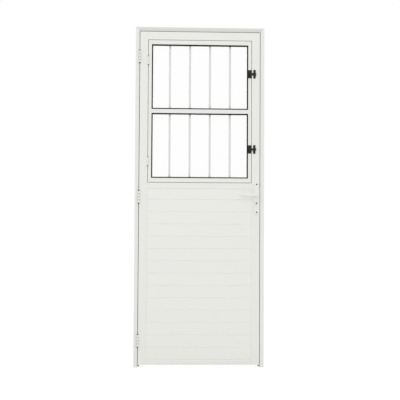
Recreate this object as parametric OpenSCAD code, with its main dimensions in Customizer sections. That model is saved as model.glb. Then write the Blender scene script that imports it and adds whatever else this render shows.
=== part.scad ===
// Aluminium front door: a mitred frame, a leaf with a slatted lower panel,
// and a glazed sash of its own that swings open in front of a fixed grille.
// Origin: floor level, middle of the width, middle of the leaf's thickness.
// The front of the door, where the hinges and the sash bolts are, faces -Y.

/* [Opening] */
// Width over the frame
frame_w = 800; // [700:10:1000]
// Height over the frame
frame_h = 2100; // [2000:10:2400]

/* [Frame profile] */
// How far the frame stands in front of the leaf
frame_proud = 6; // [4:1:10]
// Depth of the frame, front to back
frame_d = 59; // [56:1:90]
// Width of the flat front face
frame_face = 10; // [6:1:10]
// Width from the outer side to the reveal beside the leaf
frame_reveal = 23.6; // [22:0.1:25]
// Width from the outer side to the inner edge of the stop
frame_stop = 33; // [32:0.5:33.5]
// Wall of the frame profile
frame_wall = 1.6; // [1.2:0.1:2.2]
// Clear distance from the back of the leaf to the stop
stop_clear = 3; // [2.5:0.1:3.5]
// Radius of the fixing holes in the jambs
fix_hole_r = 4; // [3:0.5:5]
// Distance between the outer two fixing holes of a jamb
fix_span_outer = 1700; // [1400:20:1800]
// Distance between the inner two fixing holes of a jamb
fix_span_inner = 560; // [400:20:800]
// Leg of the corner keys
key_leg = 90; // [60:5:140]

/* [Leaf] */
// Gap between leaf and frame
leaf_gap = 3.4; // [3.3:0.1:4]
// Gap under the leaf
floor_gap = 15; // [8:1:20]
// Thickness of the leaf
leaf_t = 30; // [30:1:32]
// Wall of the leaf profiles
leaf_wall = 1.5; // [1.2:0.1:1.8]
// Width of the stiles
stile_w = 50; // [50:1:60]
// Height of the top rail
top_rail_h = 50; // [44:1:70]
// Top edge of the middle rail above the floor
mid_rail_top = 1133; // [1128:1:1180]
// Height of the middle rail
mid_rail_h = 35.5; // [33:0.5:45]
// Height of the bottom rail
bottom_rail_h = 21; // [20:1:40]
// Shank radius of the screws that hold the rails
rail_screw_r = 1.8; // [1.5:0.1:2.1]

/* [Slatted panel] */
// Visible pitch of the slats
slat_pitch = 75.6; // [60:0.1:100]
// Thickness of a slat
slat_t = 12; // [11:0.1:12.2]
// Wall of a slat
slat_wall = 1.2; // [1:0.1:1.5]
// Bevel along the slats' front edges
slat_bevel = 1.4; // [0.8:0.1:2]
// How far the slats reach into the stiles
slat_reach = 11.5; // [8:0.5:11.5]

/* [Sash] */
// Gap between sash and leaf
sash_gap = 3; // [3:0.1:3.4]
// Thickness of the sash
sash_t = 16; // [15:0.5:16.2]
// Face width of the sash stiles
sash_stile_w = 20; // [19:1:26]
// Face height of the sash's top and bottom rails
sash_rail_h = 26; // [24:1:34]
// Face height of the sash's middle rail
sash_mid_h = 25; // [24:1:34]
// Middle of the middle rail above the sash's lower edge
sash_mid_rise = 441.5; // [380:0.5:500]
// Wall of the sash profiles
sash_wall = 1.2; // [1:0.1:1.5]
// Depth of the glazing channel
glaze_depth = 8; // [7:0.5:8.5]
// Thickness of the glass
glass_t = 4; // [3:0.5:5]
// Visible width of the glazing gasket
gasket_show = 7; // [4:0.5:8]

/* [Grille] */
// Spacing of the grille bars
bar_pitch = 125; // [100:1:140]
// Width of a bar
bar_w = 12.7; // [10:0.1:16]
// Depth of a bar
bar_d = 9.5; // [8:0.1:9.5]
// Wall of a bar
bar_wall = 1; // [0.8:0.1:1.5]

/* [Hinges] */
// Height of the door hinges
hinge_h = 75; // [60:1:100]
// Radius of the door hinges' knuckles
hinge_r = 5; // [4.5:0.1:5.1]
// Radius of the door hinges' pins
hinge_pin_r = 2.5; // [2:0.1:3]
// Top hinge's middle below the top of the leaf
hinge_drop = 158; // [120:1:300]
// Bottom hinge's middle above the bottom of the leaf
hinge_rise = 148; // [120:1:300]
// Height of the sash hinges
sash_hinge_h = 50; // [40:1:70]
// Radius of the sash hinges' knuckles
sash_hinge_r = 3.8; // [3.2:0.1:3.9]
// Radius of the sash hinges' pins
sash_pin_r = 1.6; // [1.2:0.1:2]
// Sash hinges' middles from the ends of the sash
sash_hinge_in = 128; // [80:1:200]

/* [Sash bolts] */
// Height of a bolt's base
bolt_base_h = 52; // [44:1:60]
// Height of the sliding bolt
bolt_h = 12; // [10:0.5:14]
// Thickness of the sliding bolt
bolt_t = 6; // [5:0.5:7]
// Travel of the sliding bolt
bolt_travel = 16; // [14:0.5:17]
// Height of a keeper
keeper_h = 55; // [46:1:64]
// Bolts' middles from the ends of the sash
bolt_in = 207; // [150:1:280]

/* [Lock] */
// Height of the lever's axis above the floor
lever_z = 1061; // [1055:1:1065]
// Distance from the leaf's edge to the lever's axis
backset = 19; // [19:0.1:19.6]
// Distance from the lever's axis down to the cylinder
lock_centres = 53; // [51:1:55]
// Height of the handle plates
plate_h = 196; // [190:1:200]
// Width of the inside handle plate
plate_w = 30; // [29:0.5:32]
// Width of the outside handle plate, which clears the stop
plate_out_w = 24; // [23.5:0.1:24.5]
// Thickness of the handle plates
plate_t = 8; // [7:0.5:9]
// Reach of the lever from its axis to its tip
lever_len = 104; // [90:1:120]
// Height of the lever's grip
lever_h = 18; // [16:1:20]
// Height of the lever's tip
lever_tip_h = 12; // [10:1:14]
// Distance from the middle of the leaf to the outside of a lever
lever_out = 58; // [56:1:64]
// Side of the square spindle
spindle_w = 8; // [7:0.5:9]
// How far the latch stands out of the leaf
latch_out = 12; // [10:0.5:12]
// Throw of the dead bolt
dead_throw = 20; // [14:1:20]

/* [Hidden] */
$fn = 48;
// Clearance of sliding and fitted pieces
fit = 0.2;
// Radius on the visible corners of the profiles
edge_r = 0.8;
// Overshoot of a cut past the face that it opens
cut = 1;
// Colours
white = [0.92, 0.92, 0.90];
black = [0.15, 0.15, 0.16];
metal = [0.72, 0.73, 0.75];
dark = [0.26, 0.26, 0.27];
clear = [0.80, 0.88, 0.90, 0.4];

// Frame and leaf planes
leaf_f = -leaf_t / 2;
leaf_b = leaf_t / 2;
frame_f = leaf_f - frame_proud;
frame_b = frame_f + frame_d;
stop_y = leaf_b + stop_clear;
half_w = frame_w / 2;
reveal_x = half_w - frame_reveal;
leaf_x = reveal_x - leaf_gap;
leaf_z0 = floor_gap;
leaf_z1 = frame_h - frame_reveal - leaf_gap;
stile_x = leaf_x - stile_w;
fix_y = (stop_y + frame_b) / 2;
fix_z = frame_h / 2;

// Leaf, panel and sash places
mid_rail_z = mid_rail_top - mid_rail_h;
bottom_rail_z = leaf_z0 + bottom_rail_h;
top_rail_z = leaf_z1 - top_rail_h;
sash_x = stile_x - sash_gap;
sash_z0 = mid_rail_top + sash_gap;
sash_z1 = top_rail_z - sash_gap;
sash_f = leaf_f;
sash_b = sash_f + sash_t;
sash_mid_z = sash_z0 + sash_mid_rise;

// Slat channel in the stiles and rails
lip = 2;
slat_play = 0.3;
slat_end_play = 0.5;
tongue_h = 5;
tongue_t = 4;
groove_play = 0.4;
slat_seat = 0.1;
slat_cover = 7.5;
slat_sink = 8;
channel_d = slat_reach + slat_end_play;
channel_f = leaf_f + lip;
slat_f = channel_f + slat_play;
slat_b = slat_f + slat_t;
channel_b = slat_b + slat_play;
slat_x = stile_x + slat_reach;
slat_top = mid_rail_z + slat_cover;
rail_channel_top = slat_top + tongue_h + slat_end_play;
slat_floor = bottom_rail_z - slat_sink;
slat_count = ceil((slat_top - slat_floor) / slat_pitch);
web_x = stile_x + channel_d;

// Screw ports of the rails
port_y = 8.5;
port_wall = 1.6;
port_web = 3;
thread_play = 0.1;
head_over = 2.2;
driver_play = 1;
screw_head_h = 2.4;
rail_screw_len = 26;
port_r = rail_screw_r + port_wall;
port_bore_r = rail_screw_r + thread_play;
access_r = rail_screw_r + head_over + driver_play;
top_port_z = top_rail_z + top_rail_h / 2;
mid_port_z = (rail_channel_top + mid_rail_top) / 2;
bottom_port_z = (leaf_z0 + slat_floor) / 2;

// Grille and sash stops
bar_b = leaf_b - leaf_wall - fit;
bar_f = bar_b - bar_d;
bar_xs = [for (i = [-1.5 : 1 : 1.5]) i * bar_pitch];
bar_in = 12;
bar_clear = 0.6;
bar_z0 = mid_port_z + port_r + bar_clear;
bar_z1 = top_rail_z + bar_in;
sash_stop_t = 1.5;
sash_stop_w = 12;
sash_stop_gap = 0.6;
sash_stop_f = sash_b + sash_stop_gap;
sash_stop_b = sash_stop_f + sash_stop_t;
sash_stop_leg = 9;

// Door hinges, with the axis in front of the gap
hinge_leaf_t = 1.4;
hinge_off = 0.5;
hinge_axis_x = -(leaf_x + leaf_gap / 2);
hinge_axis_y = leaf_f - hinge_r - hinge_off;
hinge_wing_d = 26;
hinge_mid_lift = 5;
hinge_top_z = leaf_z1 - hinge_drop;
hinge_bottom_z = leaf_z0 + hinge_rise;
hinge_mid_z = (hinge_top_z + hinge_bottom_z) / 2 + hinge_mid_lift;
hinge_knuckles = 4;
hinge_slit = 2.2;
washer_play = 0.15;
washer_step = 0.2;
pin_play = 0.05;
pin_cap_h = 3;
pin_cap_step = 0.3;

// Sash hinges
sash_leaf_t = 1.1;
sash_axis_x = -(sash_x + sash_gap / 2);
sash_axis_y = sash_f - sash_hinge_r - hinge_off;
sash_wing_d = 15;
sash_knuckles = 3;
sash_slit = 0.6;
sash_hinge_zs = [sash_z1 - sash_hinge_in, sash_z0 + sash_hinge_in];

// Lock
axis_x = leaf_x - backset;
cyl_z = lever_z - lock_centres;
latch_rise = 25;
latch_z = lever_z + latch_rise;
latch_h = 16;
latch_half = 5;
dead_drop = 41;
dead_z = cyl_z - dead_drop;
dead_h = 20;
dead_half = 4;
case_half = 8;
case_wall = 1.5;
case_depth = 35;
case_below = 23;
case_above = 20;
case_x0 = leaf_x - case_depth;
case_z0 = dead_z - case_below;
case_z1 = latch_z + case_above;
case_hole_r = 7;
faceplate_t = 1.2;
faceplate_half = 10;
faceplate_over = 10;
strike_half = 11;
strike_over = 26;
jamb_slot_play = 1.2;
strike_slot_play = 0.8;
face_corner_r = 3;
plate_drop = 21.5;
plate_screw_in = 12;
plate_mid_z = lever_z - plate_drop;
plate_screw_z = [
    plate_mid_z - plate_h / 2 + plate_screw_in,
    plate_mid_z + plate_h / 2 - plate_screw_in
];
plate_f = leaf_b + plate_t;
plate_screw_r = 2.5;
neck_r = 8;
neck_room = 2;
cyl_r = 8.5;
cyl_h = 33;
cyl_web = 5;
cyl_room = 1;
cyl_show = 2;
cyl_f = plate_f + cyl_show;
plug_r = 6.4;
cam_r = 13.5;
cam_half = 4.5;

// Sash bolts
bolt_zs = [sash_z1 - bolt_in, sash_z0 + bolt_in];
base_t = 1.6;
bolt_f = sash_f - base_t - fit - bolt_t;
bolt_b = sash_f - base_t - fit;
base_w = 23;
base_over = 2;
base_x1 = sash_x + base_over;
base_x0 = base_x1 - base_w;
keeper_in = 8.5;
keeper_w = 15;
keeper_x0 = stile_x + keeper_in;
bolt_tail_in = 2;
bolt_clear = 7;
bolt_tip_in = bolt_travel - bolt_clear;
bolt_x0 = base_x0 + bolt_tail_in;
bolt_x1 = keeper_x0 + bolt_tip_in;
bridge_t = 2;
bridge_w = 8.5;
bridge_in = 0.5;
bridge_over = 1.5;
bridge_r = 1;
cheek_t = 2;
guide_corner_r = 5;

// Geometry helpers

function unit(v) = v / norm(v);
function turn(v, a) = [v[0] * cos(a) - v[1] * sin(a), v[0] * sin(a) + v[1] * cos(a)];
function cross2(a, b) = a[0] * b[1] - a[1] * b[0];

// Arc of radius r that replaces corner b between a and c
function corner_arc(a, b, c, r, steps = 3) =
    let (
        u = unit(a - b),
        v = unit(c - b),
        half = acos(u * v) / 2,
        centre = b + unit(u + v) * r / sin(half),
        start = b + u * r / tan(half) - centre,
        sweep = (180 - 2 * half) * -sign(cross2(u, v))
    )
    [for (i = [0 : steps]) centre + turn(start, sweep * i / steps)];

// Closed outline with every corner rounded
function rounded(pts, r) =
    let (n = len(pts))
    [for (i = [0 : n - 1]) each corner_arc(pts[(i + n - 1) % n], pts[i], pts[(i + 1) % n], r)];

// Closed anticlockwise outline moved inwards by t
function inset(pts, t) =
    let (n = len(pts))
    [for (i = [0 : n - 1])
        let (
            n1 = turn(unit(pts[i] - pts[(i + n - 1) % n]), 90),
            n2 = turn(unit(pts[(i + 1) % n] - pts[i]), 90)
        )
        pts[i] + (n1 + n2) * t / (1 + n1 * n2)];

function box_pts(a0, a1, b0, b1) = [[a0, b0], [a1, b0], [a1, b1], [a0, b1]];

module rect(a0, a1, b0, b1) translate([a0, b0]) square([a1 - a0, b1 - b0]);

module soft_rect(a0, a1, b0, b1, r) polygon(rounded(box_pts(a0, a1, b0, b1), r));

module box(x0, x1, y0, y1, z0, z1) translate([x0, y0, z0]) cube([x1 - x0, y1 - y0, z1 - z0]);

// Outline in X and Y, drawn along Z
module along_z(z0, z1) translate([0, 0, z0]) linear_extrude(z1 - z0) children();

// Outline in Y and Z, drawn along X
module along_x(x0, x1) translate([x0, 0, 0]) rotate([90, 0, 90]) linear_extrude(x1 - x0) children();

// Outline in X and Z, drawn along Y
module along_y(y0, y1) translate([0, y1, 0]) rotate([90, 0, 0]) linear_extrude(y1 - y0) children();

module rod_x(r, x0, x1, y, z) translate([x0, y, z]) rotate([0, 90, 0]) cylinder(r = r, h = x1 - x0);

module rod_y(r, y0, y1, x, z) translate([x, y0, z]) rotate([-90, 0, 0]) cylinder(r = r, h = y1 - y0);

module rod_z(r, z0, z1, x, y) translate([x, y, z0]) cylinder(r = r, h = z1 - z0);

module flip_x() mirror([1, 0, 0]) children();

module flip_y() mirror([0, 1, 0]) children();

// Frame

// Outline of the frame profile: width from the outer side, and depth
frame_pts = [
    [0, frame_f], [frame_face, frame_f], [frame_reveal, leaf_f], [frame_reveal, stop_y],
    [frame_stop, stop_y], [frame_stop, frame_b], [0, frame_b]
];

module frame_section(pts) difference() {
    polygon(rounded(pts, edge_r));
    polygon(inset(pts, frame_wall));
}

// Space of the left side as far as its mitre
module side_space() along_y(frame_f - cut, frame_b + cut) polygon([
    [-half_w - cut, -cut], [frame_stop - half_w + cut, -cut],
    [frame_stop - half_w + cut, frame_h - frame_stop - cut], [-half_w - cut, frame_h + cut]
]);

// Space of the head between its mitres
module head_space() along_y(frame_f - cut, frame_b + cut) polygon([
    [-half_w - cut, frame_h + cut], [frame_stop - half_w + cut, frame_h - frame_stop - cut],
    [half_w - frame_stop - cut, frame_h - frame_stop - cut], [half_w + cut, frame_h + cut]
]);

// Left jamb with its fixing holes
module jamb() difference() {
    intersection() {
        along_z(0, frame_h) translate([-half_w, 0]) frame_section(frame_pts);
        side_space();
    }
    for (span = [fix_span_outer, fix_span_inner], side = [-1, 1])
        rod_x(fix_hole_r, -half_w - cut, frame_stop - half_w + cut, fix_y, fix_z + side * span / 2);
}

module frame_hinge_jamb() color(white) jamb();

module frame_strike_jamb() color(white) difference() {
    flip_x() jamb();
    lock_slots(reveal_x - cut, reveal_x + frame_wall + cut, jamb_slot_play);
}

module frame_head() color(white) intersection() {
    along_x(-half_w, half_w) frame_section([for (p = frame_pts) [p[1], frame_h - p[0]]]);
    head_space();
}

// Angle that joins the left jamb and the head inside their hollow
module corner_key() along_y(leaf_f + lip, frame_b - frame_wall) polygon([
    [frame_wall - half_w, frame_h - frame_wall],
    [frame_wall - half_w, frame_h - key_leg],
    [frame_reveal - frame_wall - fit - half_w, frame_h - key_leg],
    [frame_reveal - frame_wall - fit - half_w, frame_h - frame_reveal + frame_wall + fit],
    [key_leg - half_w, frame_h - frame_reveal + frame_wall + fit],
    [key_leg - half_w, frame_h - frame_wall]
]);

module frame_corner_keys() color(metal) {
    corner_key();
    flip_x() corner_key();
}

// D-shaped seal on the stop: its middle from the outer side, half width and height
seal_u = (frame_reveal + leaf_gap + frame_stop) / 2;
seal_edge = 0.4;
seal_play = 0.3;
seal_half = (frame_stop - frame_reveal - leaf_gap) / 2 - seal_edge;
seal_h = stop_clear - seal_play;
seal_arc = [for (a = [0 : 15 : 180]) [seal_half * cos(a), seal_h * sin(a)]];

module side_seal() intersection() {
    along_z(0, frame_h) polygon([for (p = seal_arc) [seal_u - half_w + p[0], stop_y - p[1]]]);
    side_space();
}

module seal_hinge_side() color(black) side_seal();

module seal_strike_side() color(black) flip_x() side_seal();

module seal_head() color(black) intersection() {
    along_x(-half_w, half_w) polygon([for (p = seal_arc) [stop_y - p[1], frame_h - seal_u + p[0]]]);
    head_space();
}

// Holes for the latch and the dead bolt, larger than them by grow
module lock_slots(x0, x1, grow) {
    box(x0, x1, -latch_half - grow, latch_half + grow,
        latch_z - latch_h / 2 - grow, latch_z + latch_h / 2 + grow);
    box(x0, x1, -dead_half - grow, dead_half + grow,
        dead_z - dead_h / 2 - grow, dead_z + dead_h / 2 + grow);
}

module strike_plate() color(metal) difference() {
    along_x(reveal_x - faceplate_t, reveal_x)
        soft_rect(-strike_half, strike_half, dead_z - strike_over, latch_z + strike_over, face_corner_r);
    lock_slots(reveal_x - faceplate_t - cut, reveal_x + cut, strike_slot_play);
}

// Hinges

// One half of a hinge: a plate beside the gap and its share of the knuckles
module hinge_half(axis, plate_x, face_y, depth, z, h, r, bore_r, slit, count, own) difference() {
    union() {
        box(plate_x[0], plate_x[1], face_y, face_y + depth, z - h / 2, z + h / 2);
        for (k = own) {
            z0 = z - h / 2 + k * h / count + slit / 2;
            z1 = z0 + h / count - slit;
            rod_z(r, z0, z1, axis[0], axis[1]);
            box(plate_x[0], plate_x[1], axis[1], face_y + cut, z0, z1);
        }
    }
    rod_z(bore_r, z - h / 2 - cut, z + h / 2 + cut, axis[0], axis[1]);
}

// Pin with a head at each end, just clear of the knuckles
module hinge_pin(axis, z, h, r, cap_r, slit) translate([axis[0], axis[1], z]) {
    rod_z(r, -h / 2 - cut, h / 2 + cut, 0, 0);
    for (side = [0, 1]) mirror([0, 0, side])
        rod_z(cap_r, h / 2 - slit / 2 + washer_play, h / 2 + pin_cap_h, 0, 0);
}

door_axis = [hinge_axis_x, hinge_axis_y];
door_hinge_zs = [hinge_top_z, hinge_mid_z, hinge_bottom_z];

module frame_wing(z) color(white) hinge_half(
    door_axis, [-reveal_x, hinge_leaf_t - reveal_x], leaf_f, hinge_wing_d,
    z, hinge_h, hinge_r, hinge_pin_r + pin_play, hinge_slit, hinge_knuckles,
    [0 : 2 : hinge_knuckles - 1]);

module leaf_wing(z) color(white) hinge_half(
    door_axis, [-leaf_x - hinge_leaf_t, -leaf_x], leaf_f, hinge_wing_d,
    z, hinge_h, hinge_r, hinge_pin_r + pin_play, hinge_slit, hinge_knuckles,
    [1 : 2 : hinge_knuckles - 1]);

module hinge_top_frame_wing() frame_wing(hinge_top_z);

module hinge_mid_frame_wing() frame_wing(hinge_mid_z);

module hinge_bottom_frame_wing() frame_wing(hinge_bottom_z);

module hinge_top_leaf_wing() leaf_wing(hinge_top_z);

module hinge_mid_leaf_wing() leaf_wing(hinge_mid_z);

module hinge_bottom_leaf_wing() leaf_wing(hinge_bottom_z);

module door_hinge_pins() color(dark) for (z = door_hinge_zs)
    hinge_pin(door_axis, z, hinge_h, hinge_pin_r, hinge_r - pin_cap_step, hinge_slit);

// Washers on the pins between the knuckles
module door_hinge_washers() color(black) for (z = door_hinge_zs, k = [1 : hinge_knuckles - 1])
    translate([hinge_axis_x, hinge_axis_y, z - hinge_h / 2 + k * hinge_h / hinge_knuckles]) difference() {
        rod_z(hinge_r - washer_step, washer_play - hinge_slit / 2, hinge_slit / 2 - washer_play, 0, 0);
        rod_z(hinge_pin_r + pin_play, -hinge_slit, hinge_slit, 0, 0);
    }

sash_axis = [sash_axis_x, sash_axis_y];

module sash_hinge_leaf_wings() color(white) for (z = sash_hinge_zs) hinge_half(
    sash_axis, [-stile_x, sash_leaf_t - stile_x], sash_f, sash_wing_d,
    z, sash_hinge_h, sash_hinge_r, sash_pin_r + pin_play, sash_slit, sash_knuckles,
    [0 : 2 : sash_knuckles - 1]);

module sash_hinge_sash_wings() color(white) for (z = sash_hinge_zs) hinge_half(
    sash_axis, [-sash_x - sash_leaf_t, -sash_x], sash_f, sash_wing_d,
    z, sash_hinge_h, sash_hinge_r, sash_pin_r + pin_play, sash_slit, sash_knuckles,
    [1 : 2 : sash_knuckles - 1]);

module sash_hinge_pins() color(dark) for (z = sash_hinge_zs)
    hinge_pin(sash_axis, z, sash_hinge_h, sash_pin_r, sash_hinge_r - pin_cap_step, sash_slit);

// Leaf

// Left stile: three hollow chambers, the front inner one opened into a channel along the panel
module stile() difference() {
    along_z(leaf_z0, leaf_z1) difference() {
        soft_rect(-leaf_x, -stile_x, leaf_f, leaf_b, edge_r);
        rect(leaf_wall - leaf_x, -web_x - leaf_wall, leaf_f + leaf_wall, leaf_b - leaf_wall);
        rect(-web_x, -stile_x - leaf_wall, channel_f, channel_b);
        rect(-web_x, -stile_x - leaf_wall, channel_b + leaf_wall, leaf_b - leaf_wall);
    }
    box(-stile_x - leaf_wall - cut, cut - stile_x, channel_f, channel_b, slat_floor, rail_channel_top);
    for (z = [top_port_z, mid_port_z, bottom_port_z], side = [-1, 1]) {
        rod_x(access_r, -leaf_x - cut, fit - web_x, side * port_y, z);
        rod_x(port_bore_r, -stile_x - leaf_wall - cut, cut - stile_x, side * port_y, z);
    }
}

module leaf_hinge_stile() color(white) stile();

module leaf_lock_stile() color(white) difference() {
    flip_x() stile();
    box(leaf_x - leaf_wall - cut, leaf_x + cut, -case_half - fit, case_half + fit,
        case_z0 - fit, case_z1 + fit);
    rod_y(neck_r + neck_room, leaf_f - cut, leaf_b + cut, axis_x, lever_z);
    along_y(leaf_f - cut, leaf_b + cut) cylinder_outline(cyl_room, cyl_room);
    for (z = plate_screw_z) rod_y(plate_screw_r + fit, leaf_f - cut, leaf_b + cut, axis_x, z);
}

// Screw ports of a rail: rings tied to the front and back walls
module ports(z) for (side = [0, 1]) mirror([side, 0]) {
    translate([port_y, z]) circle(port_r);
    rect(port_y, leaf_b - leaf_wall / 2, z - port_web / 2, z + port_web / 2);
}

module port_bores(z) for (side = [-1, 1]) translate([side * port_y, z]) circle(port_bore_r);

// Holes for the grille bars
module bar_holes(z0, z1) for (x = bar_xs)
    box(x - bar_w / 2 - fit, x + bar_w / 2 + fit, bar_f - fit, bar_b + fit, z0, z1);

module leaf_top_rail() color(white) difference() {
    along_x(-stile_x, stile_x) difference() {
        union() {
            difference() {
                soft_rect(leaf_f, leaf_b, top_rail_z, leaf_z1, edge_r);
                rect(leaf_f + leaf_wall, leaf_b - leaf_wall, top_rail_z + leaf_wall, leaf_z1 - leaf_wall);
            }
            ports(top_port_z);
        }
        port_bores(top_port_z);
    }
    bar_holes(top_rail_z - cut, top_rail_z + leaf_wall + cut);
}

module leaf_mid_rail() color(white) difference() {
    along_x(-stile_x, stile_x) difference() {
        union() {
            difference() {
                soft_rect(leaf_f, leaf_b, mid_rail_z, mid_rail_top, edge_r);
                rect(channel_f, channel_b, mid_rail_z - cut, rail_channel_top);
                rect(channel_b + leaf_wall, leaf_b - leaf_wall, mid_rail_z + leaf_wall, rail_channel_top);
                rect(leaf_f + leaf_wall, leaf_b - leaf_wall,
                    rail_channel_top + leaf_wall, mid_rail_top - leaf_wall);
            }
            ports(mid_port_z);
        }
        port_bores(mid_port_z);
    }
    bar_holes(mid_rail_top - leaf_wall - cut, mid_rail_top + cut);
}

module leaf_bottom_rail() color(white) along_x(-stile_x, stile_x) difference() {
    union() {
        difference() {
            soft_rect(leaf_f, leaf_b, leaf_z0, bottom_rail_z, edge_r);
            rect(channel_f, channel_b, slat_floor, bottom_rail_z + cut);
            rect(channel_b + leaf_wall, leaf_b - leaf_wall, slat_floor, bottom_rail_z - leaf_wall);
            rect(leaf_f + leaf_wall, leaf_b - leaf_wall, leaf_z0 + leaf_wall, slat_floor - leaf_wall);
        }
        ports(bottom_port_z);
    }
    port_bores(bottom_port_z);
}

// Screw along X whose head bears on the wall at x, with its shank towards the middle
module rail_screw(x, y, z, r, length) {
    rod_x(r + head_over, x, x + screw_head_h, y, z);
    rod_x(r, x - length, x + cut, y, z);
}

module leaf_rail_screws() color(metal)
    for (end = [0, 1], side = [-1, 1], z = [top_port_z, mid_port_z, bottom_port_z])
        mirror([end, 0, 0])
            rail_screw(stile_x + leaf_wall, side * port_y, z, rail_screw_r, rail_screw_len);

// Section of a slat that stands on z: tongue on top, groove below, bevelled edges and a hollow
module slat_section(z) {
    top = slat_pitch - slat_seat;
    tongue_f = slat_f + (slat_t - tongue_t) / 2;
    tongue_b = tongue_f + tongue_t;
    groove_h = tongue_h + groove_play;
    translate([0, z]) difference() {
        polygon([
            [slat_f + slat_bevel, 0], [slat_f, slat_bevel],
            [slat_f, top - slat_bevel], [slat_f + slat_bevel, top],
            [tongue_f, top], [tongue_f, top + tongue_h], [tongue_b, top + tongue_h], [tongue_b, top],
            [slat_b - slat_bevel, top], [slat_b, top - slat_bevel],
            [slat_b, slat_bevel], [slat_b - slat_bevel, 0],
            [tongue_b + fit, 0], [tongue_b + fit, groove_h],
            [tongue_f - fit, groove_h], [tongue_f - fit, 0]
        ]);
        rect(slat_f + slat_wall, slat_b - slat_wall, groove_h + slat_wall, top - slat_wall);
    }
}

// Slats from the top down, the last one cut off to stand on the channel of the bottom rail
module panel_slats() color(white) for (k = [1 : slat_count])
    along_x(-slat_x, slat_x) difference() {
        slat_section(slat_top + slat_seat - k * slat_pitch);
        if (k == slat_count) rect(leaf_f, leaf_b, slat_floor - 2 * slat_pitch, slat_floor);
    }

module grille_bars() color(white) for (x = bar_xs) along_z(bar_z0, bar_z1) difference() {
    soft_rect(x - bar_w / 2, x + bar_w / 2, bar_f, bar_b, edge_r);
    rect(x - bar_w / 2 + bar_wall, x + bar_w / 2 - bar_wall, bar_f + bar_wall, bar_b - bar_wall);
}

// Angle behind the sash on the left stile
module side_stop() along_z(mid_rail_top, top_rail_z) polygon([
    [-stile_x, sash_stop_f], [sash_stop_w - stile_x, sash_stop_f], [sash_stop_w - stile_x, sash_stop_b],
    [sash_stop_t - stile_x, sash_stop_b], [sash_stop_t - stile_x, sash_stop_b + sash_stop_leg],
    [-stile_x, sash_stop_b + sash_stop_leg]
]);

// Angle behind the sash on a rail whose edge is at z, reaching towards dir, notched round the bars
module rail_stop(z, dir) difference() {
    along_x(sash_stop_w - stile_x, stile_x - sash_stop_w) polygon([
        [sash_stop_f, z], [sash_stop_f, z + dir * sash_stop_w], [sash_stop_b, z + dir * sash_stop_w],
        [sash_stop_b, z + dir * sash_stop_t], [sash_stop_b + sash_stop_leg, z + dir * sash_stop_t],
        [sash_stop_b + sash_stop_leg, z]
    ]);
    bar_holes(z - sash_stop_w, z + sash_stop_w);
}

module sash_stop_hinge_side() color(white) side_stop();

module sash_stop_lock_side() color(white) flip_x() side_stop();

module sash_stop_top() color(white) rail_stop(top_rail_z, -1);

module sash_stop_bottom() color(white) rail_stop(mid_rail_top, 1);

// Lock and handle

// Outline of the lock cylinder in X and Z, larger by grow round the barrel and by grow_web below it
module cylinder_outline(grow, grow_web) translate([axis_x, cyl_z]) {
    circle(cyl_r + grow);
    rect(-cyl_web - grow_web, cyl_web + grow_web, cyl_r + cyl_web - cyl_h, 0);
    translate([0, cyl_r + cyl_web - cyl_h]) circle(cyl_web + grow_web);
}

// Inside handle plate from x0 to x1: bevelled edge, a collar for the lever and a slot for the cylinder
plate_bevel = 2;
plate_corner_r = 5;
collar_r = 11.5;
collar_h = 2.5;
// Edge of the outside plate, just clear of the stop
plate_stop_gap = 1;
plate_out_x = half_w - frame_stop - plate_stop_gap;

module plate_blank(x0, x1) {
    z0 = plate_mid_z - plate_h / 2;
    z1 = plate_mid_z + plate_h / 2;
    intersection() {
        along_y(-plate_f, leaf_f) soft_rect(x0, x1, z0, z1, plate_corner_r);
        along_x(x0 - cut, x1 + cut) polygon([
            [leaf_f, z0], [leaf_f, z1], [plate_bevel - plate_f, z1], [-plate_f, z1 - plate_bevel],
            [-plate_f, z0 + plate_bevel], [plate_bevel - plate_f, z0]
        ]);
        along_z(z0 - cut, z1 + cut) polygon([
            [x0, leaf_f], [x1, leaf_f], [x1, plate_bevel - plate_f], [x1 - plate_bevel, -plate_f],
            [x0 + plate_bevel, -plate_f], [x0, plate_bevel - plate_f]
        ]);
    }
    rod_y(collar_r, -plate_f - collar_h, cut - plate_f, axis_x, lever_z);
}

module handle_plate(x0, x1) difference() {
    plate_blank(x0, x1);
    rod_y(neck_r + fit, -plate_f - collar_h - cut, leaf_f + cut, axis_x, lever_z);
    along_y(-plate_f - cut, leaf_f + cut) cylinder_outline(fit, fit);
}

plate_screw_head_r = 4.5;
plate_screw_head_h = 2.5;
plate_screw_sink = 0.4;
plate_screw_y = plate_screw_sink - plate_f;
plate_boss = 2;

module handle_plate_inside() color(white) difference() {
    handle_plate(axis_x - plate_w / 2, axis_x + plate_w / 2);
    for (z = plate_screw_z) {
        rod_y(plate_screw_r + fit, -plate_f - cut, leaf_f + cut, axis_x, z);
        rod_y(plate_screw_head_r + fit, -plate_f - cut, plate_screw_y + plate_screw_head_h, axis_x, z);
    }
}

module handle_plate_outside() color(white) difference() {
    flip_y() handle_plate(plate_out_x - plate_out_w, plate_out_x);
    for (z = plate_screw_z) rod_y(plate_screw_r + fit, leaf_b - cut, plate_f - plate_boss, axis_x, z);
}

module handle_plate_screws() color(dark) for (z = plate_screw_z) {
    rod_y(plate_screw_head_r, plate_screw_y, plate_screw_y + plate_screw_head_h, axis_x, z);
    rod_y(plate_screw_r, plate_screw_y + cut, plate_f - plate_boss - fit, axis_x, z);
}

// Lever that points away from the leaf's edge: neck, tapering grip and a bend back to the leaf
lever_t = 10;
lever_bend_r = 34;
lever_bend = 60;
lever_back = 9;
lever_flat = 1;
neck_short = 2;
neck_end = leaf_b + neck_short;
spindle_play = 0.1;
spindle_short = 14;
spindle_half = lever_out - spindle_short;

function arc(centre, r, a0, a1, steps) =
    [for (i = [0 : steps]) let (a = a0 + (a1 - a0) * i / steps) centre + r * [cos(a), sin(a)]];

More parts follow.
